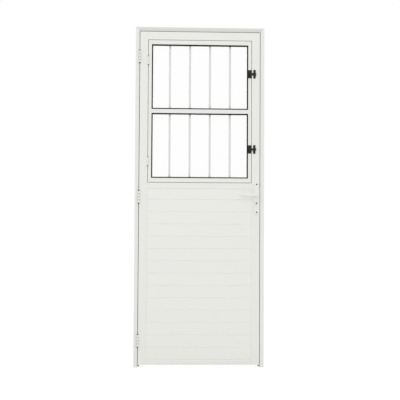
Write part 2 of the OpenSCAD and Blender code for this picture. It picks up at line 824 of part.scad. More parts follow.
module lever() {
    bend = [lever_bend_r * sin(lever_bend) - lever_len, lever_bend_r - lever_out];
    top = lever_h / 2;
    grip = [[-lever_len, top - lever_tip_h], [lever_back, -top], [lever_back, top], [-lever_len, top]];
    heights = [lever_tip_h, lever_h, lever_h, lever_tip_h];
    translate([axis_x, 0, lever_z]) difference() {
        union() {
            intersection() {
                along_z(-top, top) polygon(concat(
                    [[lever_back, -lever_out], [lever_back, lever_t - lever_out]],
                    arc(bend, lever_bend_r - lever_t, -90, -90 - lever_bend, 12),
                    arc(bend, lever_bend_r, -90 - lever_bend, -90, 12)
                ));
                along_y(-lever_out - cut, 0) polygon([for (i = [0 : 3]) each corner_arc(
                    grip[(i + 3) % 4], grip[i], grip[(i + 1) % 4], heights[i] / 2 - lever_flat, 8)]);
            }
            rod_y(neck_r, lever_t / 2 - lever_out, -neck_end, 0, 0);
        }
        box(-spindle_w / 2 - spindle_play, spindle_w / 2 + spindle_play, -spindle_half - fit, 0,
            -spindle_w / 2 - spindle_play, spindle_w / 2 + spindle_play);
    }
}

module lever_inside() color(white) lever();

module lever_outside() color(white) flip_y() lever();

module lever_spindle() color(metal) box(axis_x - spindle_w / 2, axis_x + spindle_w / 2,
    -spindle_half, spindle_half, lever_z - spindle_w / 2, lever_z + spindle_w / 2);

// Follower in the lock case: a hub on the spindle with a short arm under the latch
follower_r = 10;
follower_half = 6;
follower_arm = 15;
follower_arm_half = 2.5;

module lock_follower() color(metal) translate([axis_x, 0, lever_z]) difference() {
    union() {
        rod_y(follower_r, -follower_half, follower_half, 0, 0);
        box(-follower_arm_half, follower_arm_half, -follower_half, follower_half, 0, follower_arm);
    }
    box(-spindle_w / 2 - spindle_play, spindle_w / 2 + spindle_play,
        -follower_half - cut, follower_half + cut,
        -spindle_w / 2 - spindle_play, spindle_w / 2 + spindle_play);
}

module lock_case() color(metal) difference() {
    box(case_x0, leaf_x, -case_half, case_half, case_z0, case_z1);
    box(case_x0 + case_wall, leaf_x - case_wall, case_wall - case_half, case_half - case_wall,
        case_z0 + case_wall, case_z1 - case_wall);
    lock_slots(leaf_x - case_wall - cut, leaf_x + cut, fit);
    rod_y(case_hole_r, -case_half - cut, case_half + cut, axis_x, lever_z);
    along_y(-case_half - cut, case_half + cut) cylinder_outline(fit, 0);
    for (z = plate_screw_z) rod_y(plate_screw_r + fit, -case_half - cut, case_half + cut, axis_x, z);
}

module lock_faceplate() color(metal) difference() {
    along_x(leaf_x, leaf_x + faceplate_t) soft_rect(-faceplate_half, faceplate_half,
        case_z0 - faceplate_over, case_z1 + faceplate_over, face_corner_r);
    lock_slots(leaf_x - cut, leaf_x + faceplate_t + cut, fit);
}

// Cylinder with a gap in the middle for the cam, bridged below it
cam_room = 0.4;
cam_gap = cam_half + cam_room;
bridge_room = 1.5;
bridge_drop = cam_r + bridge_room;

module lock_cylinder() color(metal) difference() {
    along_y(-cyl_f, cyl_f) cylinder_outline(0, 0);
    rod_y(plug_r + pin_play, -cyl_f - cut, cyl_f + cut, axis_x, cyl_z);
    box(axis_x - cyl_r - cut, axis_x + cyl_r + cut, -cam_gap, cam_gap,
        cyl_z - bridge_drop, cyl_z + cyl_r + cut);
}

// Plug with a keyway at each end and the cam in the middle
keyway_t = 1.6;
keyway_d = 20;
keyway_low = 4.6;
keyway_high = 2.6;
cam_hub = 0.8;
cam_arm_half = 2.5;

module cylinder_plug() color(dark) translate([axis_x, 0, cyl_z]) difference() {
    union() {
        rod_y(plug_r, -cyl_f - fit, cyl_f + fit, 0, 0);
        rod_y(plug_r + cam_hub, -cam_half, cam_half, 0, 0);
        box(-cam_arm_half, cam_arm_half, -cam_half, cam_half, -cam_r, 0);
    }
    for (side = [0, 1]) mirror([0, side, 0])
        box(-keyway_t / 2, keyway_t / 2, -cyl_f - cut, keyway_d - cyl_f, -keyway_low, keyway_high);
}

// Latch, bevelled on the side that meets the strike as the door closes
latch_tail = 21;
latch_nose = 2;
latch_ledge = 1;

module latch_bolt() color(metal) along_z(latch_z - latch_h / 2, latch_z + latch_h / 2) polygon([
    [leaf_x - latch_tail, -latch_half], [leaf_x + latch_out, -latch_half],
    [leaf_x + latch_out, latch_nose - latch_half], [leaf_x + faceplate_t + latch_ledge, latch_half],
    [leaf_x - latch_tail, latch_half]
]);

dead_guide = 12;
dead_tail = dead_throw + dead_guide;
dead_edge_r = 0.6;

module dead_bolt() color(metal) along_z(dead_z - dead_h / 2, dead_z + dead_h / 2)
    soft_rect(leaf_x - dead_tail, leaf_x + faceplate_t - fit, -dead_half, dead_half, dead_edge_r);

// Sash

pane_x = sash_x - sash_stile_w;
channel_x = pane_x + glaze_depth;
glaze_lip = 3.2;
glaze_back = 1.5;
glaze_f = sash_f + glaze_lip;
glaze_b = sash_b - glaze_back;
glass_y = (glaze_f + glaze_b) / 2;
sash_screw_r = 1.5;
sash_port_r = 2.9;
sash_port_web = 2.4;
sash_screw_len = 20;
sash_top_z = sash_z1 - sash_rail_h;
sash_bottom_z = sash_z0 + sash_rail_h;
sash_mid_z0 = sash_mid_z - sash_mid_h / 2;
sash_mid_z1 = sash_mid_z + sash_mid_h / 2;
sash_port_zs = [
    (sash_z0 + sash_bottom_z - glaze_depth) / 2,
    sash_mid_z,
    (sash_z1 + sash_top_z + glaze_depth) / 2
];

module sash_stile() difference() {
    along_z(sash_z0, sash_z1) difference() {
        soft_rect(-sash_x, -pane_x, sash_f, sash_b, edge_r);
        rect(-channel_x, cut - pane_x, glaze_f, glaze_b);
        rect(sash_wall - sash_x, -channel_x - sash_wall, sash_f + sash_wall, sash_b - sash_wall);
    }
    for (z = sash_port_zs) {
        rod_x(sash_screw_r + head_over + driver_play, -sash_x - cut, sash_wall - sash_x + cut,
            glass_y, z);
        rod_x(sash_screw_r + thread_play, -channel_x - sash_wall - cut, cut - channel_x, glass_y, z);
    }
}

module sash_hinge_stile() color(white) sash_stile();

module sash_lock_stile() color(white) flip_x() sash_stile();

// Section of a sash rail with glazing channels below and above as asked, and a screw port
module sash_rail_section(z0, z1, below, above) {
    hollow_z0 = z0 + sash_wall + (below ? glaze_depth : 0);
    hollow_z1 = z1 - sash_wall - (above ? glaze_depth : 0);
    port_z = (hollow_z0 + hollow_z1) / 2;
    difference() {
        soft_rect(sash_f, sash_b, z0, z1, edge_r);
        if (below) rect(glaze_f, glaze_b, z0 - cut, z0 + glaze_depth);
        if (above) rect(glaze_f, glaze_b, z1 - glaze_depth, z1 + cut);
        difference() {
            rect(sash_f + sash_wall, sash_b - sash_wall, hollow_z0, hollow_z1);
            translate([glass_y, port_z]) circle(min(sash_port_r, (hollow_z1 - hollow_z0) / 2 - fit));
            rect(glass_y - sash_port_web / 2, glass_y + sash_port_web / 2,
                hollow_z0 - cut, hollow_z1 + cut);
        }
        translate([glass_y, port_z]) circle(sash_screw_r + thread_play);
    }
}

// Rail between the stiles, with a tongue at each end that seats in their channels
module sash_rail(z0, z1, below, above) {
    along_x(-pane_x, pane_x) sash_rail_section(z0, z1, below, above);
    along_x(-channel_x, channel_x) intersection() {
        sash_rail_section(z0, z1, below, above);
        rect(glaze_f + fit, glaze_b - fit, z0, z1);
    }
}

module sash_top_rail() color(white) sash_rail(sash_top_z, sash_z1, true, false);

module sash_mid_rail() color(white) sash_rail(sash_mid_z0, sash_mid_z1, true, true);

module sash_bottom_rail() color(white) sash_rail(sash_z0, sash_bottom_z, false, true);

module sash_rail_screws() color(metal) for (end = [0, 1], z = sash_port_zs)
    mirror([end, 0, 0]) rail_screw(channel_x + sash_wall, glass_y, z, sash_screw_r, sash_screw_len);

// Glass and its gasket between two rail edges
gasket_base = 2;

module pane(z0, z1) box(gasket_base - channel_x, channel_x - gasket_base,
    glass_y - glass_t / 2, glass_y + glass_t / 2,
    z0 - glaze_depth + gasket_base, z1 + glaze_depth - gasket_base);

module gasket(z0, z1) difference() {
    box(-channel_x, channel_x, glaze_f, glaze_b, z0 - glaze_depth, z1 + glaze_depth);
    box(gasket_show - pane_x, pane_x - gasket_show, glaze_f - cut, glaze_b + cut,
        z0 + gasket_show, z1 - gasket_show);
    pane(z0, z1);
}

module glass_upper() color(clear) pane(sash_mid_z1, sash_top_z);

module glass_lower() color(clear) pane(sash_bottom_z, sash_mid_z0);

module gasket_upper() color(black) gasket(sash_mid_z1, sash_top_z);

module gasket_lower() color(black) gasket(sash_bottom_z, sash_mid_z0);

// Sash bolts

// Plate with a bridge over the bolt: the plate's span and the bridge's span in X
module bolt_guide(z, plate_span, bridge_span, h, face_y) {
    inner = bolt_h / 2 + fit;
    outer = inner + cheek_t;
    front = bolt_f - fit - bridge_t;
    along_y(face_y - base_t, face_y) soft_rect(
        plate_span[0], plate_span[1], z - h / 2, z + h / 2, guide_corner_r);
    along_x(bridge_span[0], bridge_span[1]) difference() {
        soft_rect(front, face_y - base_t / 2, z - outer, z + outer, bridge_r);
        rect(bolt_f - fit, face_y - base_t, z - inner, z + inner);
    }
}

module bolt_base(z) color(black) bolt_guide(z, [base_x0, base_x1],
    [base_x1 - bridge_in - bridge_w, base_x1 - bridge_in], bolt_base_h, sash_f);

module bolt_keeper(z) color(black) bolt_guide(z, [keeper_x0, keeper_x0 + keeper_w],
    [keeper_x0 + bridge_in, keeper_x0 + keeper_w + bridge_over], keeper_h, leaf_f);

// Sliding bolt with a rounded tip and a knob
knob_r = 4.5;
knob_h = 7;
knob_x = bolt_x0 + knob_r;

module sash_bolt(z) color(black) {
    along_z(z - bolt_h / 2, z + bolt_h / 2) polygon(concat(
        [[bolt_x0, bolt_b], [bolt_x0, bolt_f]],
        arc([bolt_x1 - bolt_t / 2, (bolt_f + bolt_b) / 2], bolt_t / 2, -90, 90, 8)
    ));
    rod_y(knob_r, bolt_f - knob_h, bolt_f + cut, knob_x, z);
}

module bolt_base_upper() bolt_base(bolt_zs[0]);

module bolt_base_lower() bolt_base(bolt_zs[1]);

module bolt_keeper_upper() bolt_keeper(bolt_zs[0]);

module bolt_keeper_lower() bolt_keeper(bolt_zs[1]);

module sash_bolt_upper() sash_bolt(bolt_zs[0]);

module sash_bolt_lower() sash_bolt(bolt_zs[1]);

frame_hinge_jamb();
frame_strike_jamb();
frame_head();
frame_corner_keys();
seal_hinge_side();
seal_strike_side();
seal_head();
strike_plate();
hinge_top_frame_wing();
hinge_mid_frame_wing();
hinge_bottom_frame_wing();
door_hinge_pins();
door_hinge_washers();
leaf_hinge_stile();
leaf_lock_stile();
leaf_top_rail();
leaf_mid_rail();
leaf_bottom_rail();
leaf_rail_screws();
panel_slats();
grille_bars();
sash_stop_hinge_side();
sash_stop_lock_side();
sash_stop_top();
sash_stop_bottom();
hinge_top_leaf_wing();
hinge_mid_leaf_wing();
hinge_bottom_leaf_wing();
sash_hinge_leaf_wings();
sash_hinge_pins();
handle_plate_inside();
handle_plate_outside();
handle_plate_screws();
lock_case();
lock_faceplate();
lock_cylinder();
bolt_keeper_upper();
bolt_keeper_lower();
lever_inside();
lever_outside();
lever_spindle();
lock_follower();
latch_bolt();
dead_bolt();
cylinder_plug();
sash_hinge_stile();
sash_lock_stile();
sash_top_rail();
sash_mid_rail();
sash_bottom_rail();
sash_rail_screws();
glass_upper();
glass_lower();
gasket_upper();
gasket_lower();
sash_hinge_sash_wings();
bolt_base_upper();
bolt_base_lower();
sash_bolt_upper();
sash_bolt_lower();
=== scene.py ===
"""Looks of an aluminium front door: finishes, screw heads, studio light and camera."""

import logging
import math
from collections.abc import Iterable
from dataclasses import dataclass
from enum import Enum
from typing import Any

import bpy
from mathutils import Matrix, Vector

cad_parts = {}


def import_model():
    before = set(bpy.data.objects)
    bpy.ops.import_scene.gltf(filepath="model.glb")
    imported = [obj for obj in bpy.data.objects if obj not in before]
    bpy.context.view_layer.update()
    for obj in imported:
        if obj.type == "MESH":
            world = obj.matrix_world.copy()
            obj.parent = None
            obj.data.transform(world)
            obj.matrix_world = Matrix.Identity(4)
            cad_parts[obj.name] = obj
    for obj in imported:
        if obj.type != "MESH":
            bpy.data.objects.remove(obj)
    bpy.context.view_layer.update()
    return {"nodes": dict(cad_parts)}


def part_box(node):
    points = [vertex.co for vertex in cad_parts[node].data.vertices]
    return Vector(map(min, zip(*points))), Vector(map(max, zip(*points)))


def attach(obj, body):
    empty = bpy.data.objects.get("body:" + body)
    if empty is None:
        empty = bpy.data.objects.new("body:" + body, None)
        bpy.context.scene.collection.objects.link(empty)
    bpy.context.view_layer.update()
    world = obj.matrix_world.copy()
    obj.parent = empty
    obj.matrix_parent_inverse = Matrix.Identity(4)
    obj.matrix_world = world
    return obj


LOG = logging.getLogger("front_door")
MM = 0.001

Colour = tuple[float, float, float]
Point = tuple[float, float, float]
WHITE: Colour = (1.0, 1.0, 1.0)


class Run(Enum):
    """Direction in which a profile was extruded, as the stretch of its die lines."""

    ALONG_X = (1.5, 700.0, 700.0)
    ALONG_Z = (700.0, 700.0, 1.5)
    NONE = (0.0, 0.0, 0.0)


class Facing(Enum):
    """Way a screw head looks, as the turn that carries +Z there."""

    FRONT = (math.pi / 2, 0.0, 0.0)
    LOCK_SIDE = (0.0, math.pi / 2, 0.0)
    HINGE_SIDE = (0.0, -math.pi / 2, 0.0)


class NodeSheet:
    """Small helper that adds and links nodes of one tree."""

    def __init__(self, tree: bpy.types.NodeTree) -> None:
        """Keeps the tree to work on."""
        self.tree = tree

    def add(
        self, kind: str, values: dict[str | int, Any] | None = None, **settings: Any
    ) -> bpy.types.Node:
        """Adds a node.

        Args:
            kind: the node's type name.
            values: input sockets, by name or number, and the value or output socket each one gets.
            settings: properties of the node itself.

        Returns:
            The new node.
        """
        node = self.tree.nodes.new(kind)
        for name, value in settings.items():
            setattr(node, name, value)
        for key, value in (values or {}).items():
            socket = node.inputs[key]
            if isinstance(value, bpy.types.NodeSocket):
                self.tree.links.new(value, socket)
            else:
                socket.default_value = value
        return node

    def link(self, source: bpy.types.NodeSocket, target: bpy.types.NodeSocket) -> None:
        """Joins two sockets."""
        self.tree.links.new(source, target)

    def noise(self, where: bpy.types.NodeSocket, scale: float, detail: float) -> bpy.types.NodeSocket:
        """Adds a noise pattern.

        Args:
            where: coordinates that the pattern is read at.
            scale: fineness of the pattern.
            detail: number of finer layers in it.

        Returns:
            The pattern's value.
        """
        pattern = self.add("ShaderNodeTexNoise", {"Vector": where, "Scale": scale, "Detail": detail})
        return pattern.outputs["Fac"]


def fresh_material(name: str) -> tuple[bpy.types.Material, NodeSheet]:
    """Makes an empty node material.

    Args:
        name: the material's name.

    Returns:
        The material and the sheet of its nodes.
    """
    material = bpy.data.materials.new(name)
    material.use_nodes = True
    material.node_tree.nodes.clear()
    return material, NodeSheet(material.node_tree)


def rgba(colour: Colour) -> tuple[float, float, float, float]:
    """Adds full opacity to a colour."""
    return (*colour, 1.0)


@dataclass(frozen=True)
class Finish:
    """A surface finish with slow drift of tone, varied roughness and a fine bump."""

    name: str
    colour: Colour
    tone_drift: float = 0.02
    drift_scale: float = 3.0
    drift_detail: float = 3.0
    roughness: tuple[float, float] = (0.36, 0.46)
    patch_scale: float = 30.0
    patch_detail: float = 4.0
    metallic: float = 0.0
    grain_scale: float = 900.0
    grain_detail: float = 2.0
    grain_strength: float = 0.06
    grain_depth: float = 0.12 * MM
    run: Run = Run.NONE
    line_scale: float = 1.0
    line_detail: float = 2.0
    line_strength: float = 0.05
    specular: float = 0.5
    coat: float = 0.0

    def material(self) -> bpy.types.Material:
        """Builds the material.

        Returns:
            A procedural material on the piece's own coordinates.
        """
        material, sheet = fresh_material(self.name)
        where = sheet.add("ShaderNodeTexCoord").outputs["Object"]
        drift = sheet.noise(where, self.drift_scale, self.drift_detail)
        darker = tuple(channel * (1.0 - self.tone_drift) for channel in self.colour)
        tone = sheet.add("ShaderNodeMix", data_type="RGBA")
        sheet.link(drift, tone.inputs["Factor"])
        colour_in = [socket for socket in tone.inputs if socket.type == "RGBA"]
        colour_in[0].default_value = rgba(self.colour)
        colour_in[1].default_value = rgba(darker)
        colour_out = [socket for socket in tone.outputs if socket.type == "RGBA"][0]
        patches = sheet.noise(where, self.patch_scale, self.patch_detail)
        rough = sheet.add("ShaderNodeMapRange", {
            "Value": patches,
            "To Min": self.roughness[0],
            "To Max": self.roughness[1],
        })
        shader = sheet.add("ShaderNodeBsdfPrincipled", {
            "Base Color": colour_out,
            "Roughness": rough.outputs["Result"],
            "Metallic": self.metallic,
            "Specular IOR Level": self.specular,
            "Coat Weight": self.coat,
            "Normal": self.bump(sheet, where),
        })
        sheet.add("ShaderNodeOutputMaterial", {"Surface": shader.outputs["BSDF"]})
        return material

    def bump(self, sheet: NodeSheet, where: bpy.types.NodeSocket) -> bpy.types.NodeSocket:
        """Adds the fine relief: the coat's grain, and die lines where the profile has a run.

        Args:
            sheet: the material's nodes.
            where: coordinates on the piece.

        Returns:
            The normal's output socket.
        """
        relief = sheet.add("ShaderNodeBump", {
            "Height": sheet.noise(where, self.grain_scale, self.grain_detail),
            "Strength": self.grain_strength,
            "Distance": self.grain_depth,
        })
        if self.run is Run.NONE:
            return relief.outputs["Normal"]
        stretched = sheet.add("ShaderNodeMapping", {"Vector": where, "Scale": self.run.value})
        drawn = sheet.add("ShaderNodeBump", {
            "Height": sheet.noise(stretched.outputs["Vector"], self.line_scale, self.line_detail),
            "Strength": self.line_strength,
            "Distance": self.grain_depth,
            "Normal": relief.outputs["Normal"],
        })
        return drawn.outputs["Normal"]


@dataclass(frozen=True)
class ClearGlass:
    """Thin float glass: almost clear, with a faint green tint, gloss and a slight waviness."""

    name: str
    tint: Colour = (0.96, 0.975, 0.965)
    cover: float = 0.08
    roughness: float = 0.0
    ior: float = 1.45
    wave_scale: float = 6.0
    wave_detail: float = 1.0
    wave_strength: float = 0.02
    wave_depth: float = 0.5 * MM

    def material(self) -> bpy.types.Material:
        """Builds the glass material.

        Returns:
            A clear material that lets the grille show through.
        """
        material, sheet = fresh_material(self.name)
        where = sheet.add("ShaderNodeTexCoord").outputs["Object"]
        bump = sheet.add("ShaderNodeBump", {
            "Height": sheet.noise(where, self.wave_scale, self.wave_detail),
            "Strength": self.wave_strength,
            "Distance": self.wave_depth,
        })
        shader = sheet.add("ShaderNodeBsdfPrincipled", {
            "Base Color": rgba(self.tint),
            "Roughness": self.roughness,
            "IOR": self.ior,
            "Alpha": self.cover,
            "Normal": bump.outputs["Normal"],
        })
        sheet.add("ShaderNodeOutputMaterial", {"Surface": shader.outputs["BSDF"]})
        return material


@dataclass(frozen=True)
class Palette:
    """All finishes of the door, made once."""

    upright: bpy.types.Material
    level: bpy.types.Material
    frame_upright: bpy.types.Material
    frame_level: bpy.types.Material
    slat: bpy.types.Material
    grille: bpy.types.Material
    fittings: bpy.types.Material
    black: bpy.types.Material
    gasket: bpy.types.Material
    seal: bpy.types.Material
    glass: bpy.types.Material
    steel: bpy.types.Material
    nickel: bpy.types.Material
    dark_steel: bpy.types.Material
    plug: bpy.types.Material
    nylon: bpy.types.Material

    @classmethod
    def mixed(cls) -> "Palette":
        """Makes every finish.

        Returns:
            The palette.
        """
        slat_white: Colour = (0.87, 0.878, 0.833)
        leaf_white: Colour = (0.856, 0.862, 0.818)
        jamb_white: Colour = (0.843, 0.848, 0.813)
        # The head's coat is the jambs' white coat painted darker: painted shade on the head's face
        head_painted_shade_white: Colour = (0.755, 0.76, 0.722)
        # The grille's white is painted greyer: painted shade for the bars that stand behind the glass
        grille_painted_shade_white: Colour = (0.74, 0.745, 0.71)
        enamel_white: Colour = (0.87, 0.872, 0.835)
        return cls(
            upright=Finish("leaf_coat_upright", leaf_white, run=Run.ALONG_Z).material(),
            level=Finish("leaf_coat_level", leaf_white, run=Run.ALONG_X).material(),
            frame_upright=Finish("frame_coat_upright", jamb_white, run=Run.ALONG_Z).material(),
            frame_level=Finish("frame_coat_level_painted_shade", head_painted_shade_white, run=Run.ALONG_X).material(),
            slat=Finish("slat_coat", slat_white, run=Run.ALONG_X, line_strength=0.07).material(),
            grille=Finish("grille_coat_painted_shade", grille_painted_shade_white, run=Run.ALONG_Z).material(),
            fittings=Finish("white_enamel", enamel_white, roughness=(0.24, 0.34),
                            grain_strength=0.03, coat=0.15).material(),
            black=Finish("black_enamel", (0.02, 0.02, 0.0174), tone_drift=0.3, drift_scale=60.0,
                         roughness=(0.36, 0.5), grain_strength=0.12, specular=0.3).material(),
            gasket=Finish("black_rubber", (0.010, 0.0095, 0.0085), tone_drift=0.3, drift_scale=40.0,
                          roughness=(0.65, 0.8), grain_strength=0.15, specular=0.15).material(),
            seal=Finish("grey_rubber", (0.48, 0.48, 0.47), tone_drift=0.15, drift_scale=40.0,
                        roughness=(0.6, 0.75), grain_strength=0.15, specular=0.3).material(),
            glass=ClearGlass("float_glass").material(),
            steel=Finish("zinc_plate", (0.62, 0.62, 0.63), tone_drift=0.12, drift_scale=80.0,
                         roughness=(0.28, 0.42), metallic=1.0, grain_strength=0.1).material(),
            nickel=Finish("satin_nickel", (0.84, 0.83, 0.80), tone_drift=0.06, drift_scale=80.0,
                          roughness=(0.3, 0.42), metallic=1.0, grain_strength=0.08).material(),
            dark_steel=Finish("blackened_steel", (0.035, 0.035, 0.038), tone_drift=0.3, drift_scale=90.0,
                              roughness=(0.34, 0.5), grain_strength=0.1, specular=0.4).material(),
            # The plug's steel is painted darker than the nickel around it: painted shade for the dark
            # dot of the keyway
            plug=Finish("plug_steel_painted_shade", (0.4, 0.4, 0.39), tone_drift=0.3, drift_scale=90.0,
                        roughness=(0.34, 0.5), grain_strength=0.1, specular=0.4).material(),
            nylon=Finish("black_nylon", (0.012, 0.012, 0.013), tone_drift=0.2, drift_scale=60.0,
                         roughness=(0.5, 0.62), grain_strength=0.1, specular=0.25).material(),
        )


def dress(node: bpy.types.Object, material: bpy.types.Material) -> None:
    """Gives a solid its finish.

    Args:
        node: the solid's object.
        material: its finish.
    """
    for slot in node.material_slots:
        slot.material = material
    LOG.info("dressed %s with %s", node.name, material.name)


class ScrewTree:
    """Geometry Nodes tree that sets a cross-recessed screw head on each point of a mesh."""

    SIZES = ("Head radius", "Head height", "Recess length", "Recess width", "Recess depth")
    HEAD_SIDES = 24
    TOP_SHARE = 0.72
    # A cutter is centred on the head's top, so only its lower half cuts
    CUTTER_DEPTHS = 2.0

    def __init__(self) -> None:
        """Builds the tree."""
        self.tree = bpy.data.node_groups.new("screw_heads", "GeometryNodeTree")
        face = self.tree.interface
        face.new_socket("Points", in_out="INPUT", socket_type="NodeSocketGeometry")
        for name in self.SIZES:
            face.new_socket(name, in_out="INPUT", socket_type="NodeSocketFloat")
        face.new_socket("Facing", in_out="INPUT", socket_type="NodeSocketVector")
        face.new_socket("Finish", in_out="INPUT", socket_type="NodeSocketMaterial")
        face.new_socket("Screws", in_out="OUTPUT", socket_type="NodeSocketGeometry")
        sheet = NodeSheet(self.tree)
        given = sheet.add("NodeGroupInput").outputs
        top = sheet.add(
            "ShaderNodeMath", {0: given["Head radius"], 1: self.TOP_SHARE}, operation="MULTIPLY")
        head = sheet.add("GeometryNodeMeshCone", {
            "Vertices": self.HEAD_SIDES,
            "Radius Top": top.outputs[0],
            "Radius Bottom": given["Head radius"],
            "Depth": given["Head height"],
        })
        lift = sheet.add("ShaderNodeCombineXYZ", {"Z": given["Head height"]})
        arms = [self.recess_arm(sheet, given, lift.outputs[0], turn) for turn in (0.0, math.pi / 2)]
        cut = sheet.add(
            "GeometryNodeMeshBoolean", {"Mesh 1": head.outputs["Mesh"]}, operation="DIFFERENCE")
        for arm in arms:
            sheet.link(arm, cut.inputs["Mesh 2"])
        turned = sheet.add("FunctionNodeEulerToRotation", {0: given["Facing"]})
        placed = sheet.add("GeometryNodeInstanceOnPoints", {
            "Points": given["Points"],
            "Instance": cut.outputs["Mesh"],
            "Rotation": turned.outputs[0],
        })
        solid = sheet.add("GeometryNodeRealizeInstances", {0: placed.outputs[0]})
        coated = sheet.add(
            "GeometryNodeSetMaterial", {"Geometry": solid.outputs[0], "Material": given["Finish"]})
        sheet.add("NodeGroupOutput", {"Screws": coated.outputs[0]})

    def recess_arm(
        self,
        sheet: NodeSheet,
        given: bpy.types.bpy_prop_collection,
        lift: bpy.types.NodeSocket,
        turn: float,
    ) -> bpy.types.NodeSocket:
        """Adds one arm of the cross recess.

        Args:
            sheet: the tree's nodes.
            given: the tree's inputs.
            lift: place of the head's top.
            turn: angle of the arm.

        Returns:
            The arm's geometry.
        """
        depth = sheet.add(
            "ShaderNodeMath", {0: given["Recess depth"], 1: self.CUTTER_DEPTHS}, operation="MULTIPLY")
        size = sheet.add("ShaderNodeCombineXYZ", {
            "X": given["Recess length"],
            "Y": given["Recess width"],
            "Z": depth.outputs[0],
        })
        block = sheet.add("GeometryNodeMeshCube", {"Size": size.outputs[0]})
        moved = sheet.add("GeometryNodeTransform", {
            "Geometry": block.outputs["Mesh"],
            "Translation": lift,
            "Rotation": (0.0, 0.0, turn),
        })
        return moved.outputs[0]

    def identifiers(self) -> dict[str, str]:
        """Returns each input's identifier by its name."""
        items = self.tree.interface.items_tree
        return {item.name: item.identifier for item in items if item.in_out == "INPUT"}


@dataclass
class ScrewGroup:
    """Screw heads of one body that look the same way."""

    name: str
    body: str
    slot: str
    facing: Facing
    places: list[Point]
    head_r: float
    head_h: float
    recess_share: float = 1.1
    recess_width_share: float = 0.26
    recess_depth_share: float = 0.7

    def build(self, tree: ScrewTree, material: bpy.types.Material) -> bpy.types.Object:
        """Makes the screw heads as one plain mesh and ties them to their body.

        Args:
            tree: the screw tree.
            material: finish of the screws.

        Returns:
            The screws' object.
        """
        points = bpy.data.meshes.new(self.name + "_points")
        points.from_pydata(self.places, [], [])
        piece = bpy.data.objects.new(self.name, points)
        bpy.context.scene.collection.objects.link(piece)
        modifier = piece.modifiers.new("screw_heads", "NODES")
        modifier.node_group = tree.tree
        keys = tree.identifiers()
        modifier[keys["Head radius"]] = self.head_r
        modifier[keys["Head height"]] = self.head_h
        modifier[keys["Recess length"]] = self.head_r * self.recess_share
        modifier[keys["Recess width"]] = self.head_r * self.recess_width_share
        modifier[keys["Recess depth"]] = self.head_h * self.recess_depth_share
        modifier[keys["Facing"]] = self.facing.value
        modifier[keys["Finish"]] = material
        seen = piece.evaluated_get(bpy.context.evaluated_depsgraph_get())
        mesh = bpy.data.meshes.new_from_object(seen)
        piece.modifiers.clear()
        piece.data = mesh
        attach(piece, self.body)
        LOG.info("built %s: %d screws on %s", self.name, len(self.places), self.body)
        return piece


def centre(node: str) -> Vector:
    """Returns the middle of a solid's box."""
    low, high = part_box(node)
    return (Vector(low) + Vector(high)) / 2


@dataclass
class DoorFrame:
    """Mitred frame with its seals, strike plate and hinge wings."""

    screw_r: float = 2.6 * MM
    screw_h: float = 0.35 * MM
    wing_t: float = 1.4 * MM
    wing_screw_h: float = 0.2 * MM
    wing_pitch: float = 21.0 * MM
    wing_back: float = 9.0 * MM
    strike_inset: float = 12.0 * MM
    hinges: tuple[str, ...] = ("top", "mid", "bottom")

    def dress(self, nodes: dict[str, bpy.types.Object], palette: Palette) -> None:
        """Gives the frame's solids their finishes.

        Args:
            nodes: the solids' objects by name.
            palette: the door's finishes.
        """
        dress(nodes["frame_hinge_jamb"], palette.frame_upright)
        dress(nodes["frame_strike_jamb"], palette.frame_upright)
        # The head gets the copy of the frame coat with painted shade
        dress(nodes["frame_head"], palette.frame_level)
        dress(nodes["frame_corner_keys"], palette.steel)
        dress(nodes["strike_plate"], palette.steel)
        dress(nodes["door_hinge_pins"], palette.dark_steel)
        dress(nodes["door_hinge_washers"], palette.nylon)
        for side in ("hinge_side", "strike_side", "head"):
            dress(nodes["seal_" + side], palette.seal)
        for name in self.hinges:
            dress(nodes[f"hinge_{name}_frame_wing"], palette.fittings)
            dress(nodes[f"hinge_{name}_leaf_wing"], palette.fittings)

    def wing_places(self, half: str, face: float) -> list[Point]:
        """Places of the screws in one half of all door hinges.

        Args:
            half: name of the hinge half.
            face: X of the face that the heads stand on.

        Returns:
            Three places for each hinge.
        """
        places: list[Point] = []
        for name in self.hinges:
            low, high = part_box(f"hinge_{name}_{half}")
            middle = (low[2] + high[2]) / 2
            depth = high[1] - self.wing_back
            places += [(face, depth, middle + step * self.wing_pitch) for step in (-1, 0, 1)]
        return places

    def build(self, tree: ScrewTree, palette: Palette) -> None:
        """Adds the screws of the hinge wings and of the strike plate.

        Args:
            tree: the screw tree.
            palette: the door's finishes.
        """
        low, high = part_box("strike_plate")
        hinge_reveal = -high[0]
        frame_face = hinge_reveal + self.wing_t
        leaf_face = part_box("leaf_hinge_stile")[0][0] - self.wing_t
        ScrewGroup("frame_hinge_screws", "frame", "steel", Facing.LOCK_SIDE,
                   self.wing_places("frame_wing", frame_face), self.screw_r,
                   self.wing_screw_h).build(tree, palette.steel)
        ScrewGroup("leaf_hinge_screws", "leaf", "steel", Facing.HINGE_SIDE,
                   self.wing_places("leaf_wing", leaf_face), self.screw_r,
                   self.wing_screw_h).build(tree, palette.steel)
        strike = [(low[0], 0.0, z) for z in (low[2] + self.strike_inset, high[2] - self.strike_inset)]
        ScrewGroup("strike_screws", "frame", "steel", Facing.HINGE_SIDE, strike,
                   self.screw_r, self.screw_h).build(tree, palette.steel)


@dataclass
class Leaf:
    """Leaf of stiles and rails with the slatted panel, the grille and the sash stops."""

    uprights: tuple[str, ...] = (
        "leaf_hinge_stile", "leaf_lock_stile", "sash_stop_hinge_side", "sash_stop_lock_side")
    levels: tuple[str, ...] = (
        "leaf_top_rail", "leaf_mid_rail", "leaf_bottom_rail", "sash_stop_top", "sash_stop_bottom")

    def dress(self, nodes: dict[str, bpy.types.Object], palette: Palette) -> None:
        """Gives the leaf's solids their finishes.

        Args:
            nodes: the solids' objects by name.
            palette: the door's finishes.
        """
        for name in self.uprights:
            dress(nodes[name], palette.upright)
        for name in self.levels:
            dress(nodes[name], palette.level)
        dress(nodes["panel_slats"], palette.slat)
        dress(nodes["grille_bars"], palette.grille)
        dress(nodes["leaf_rail_screws"], palette.steel)


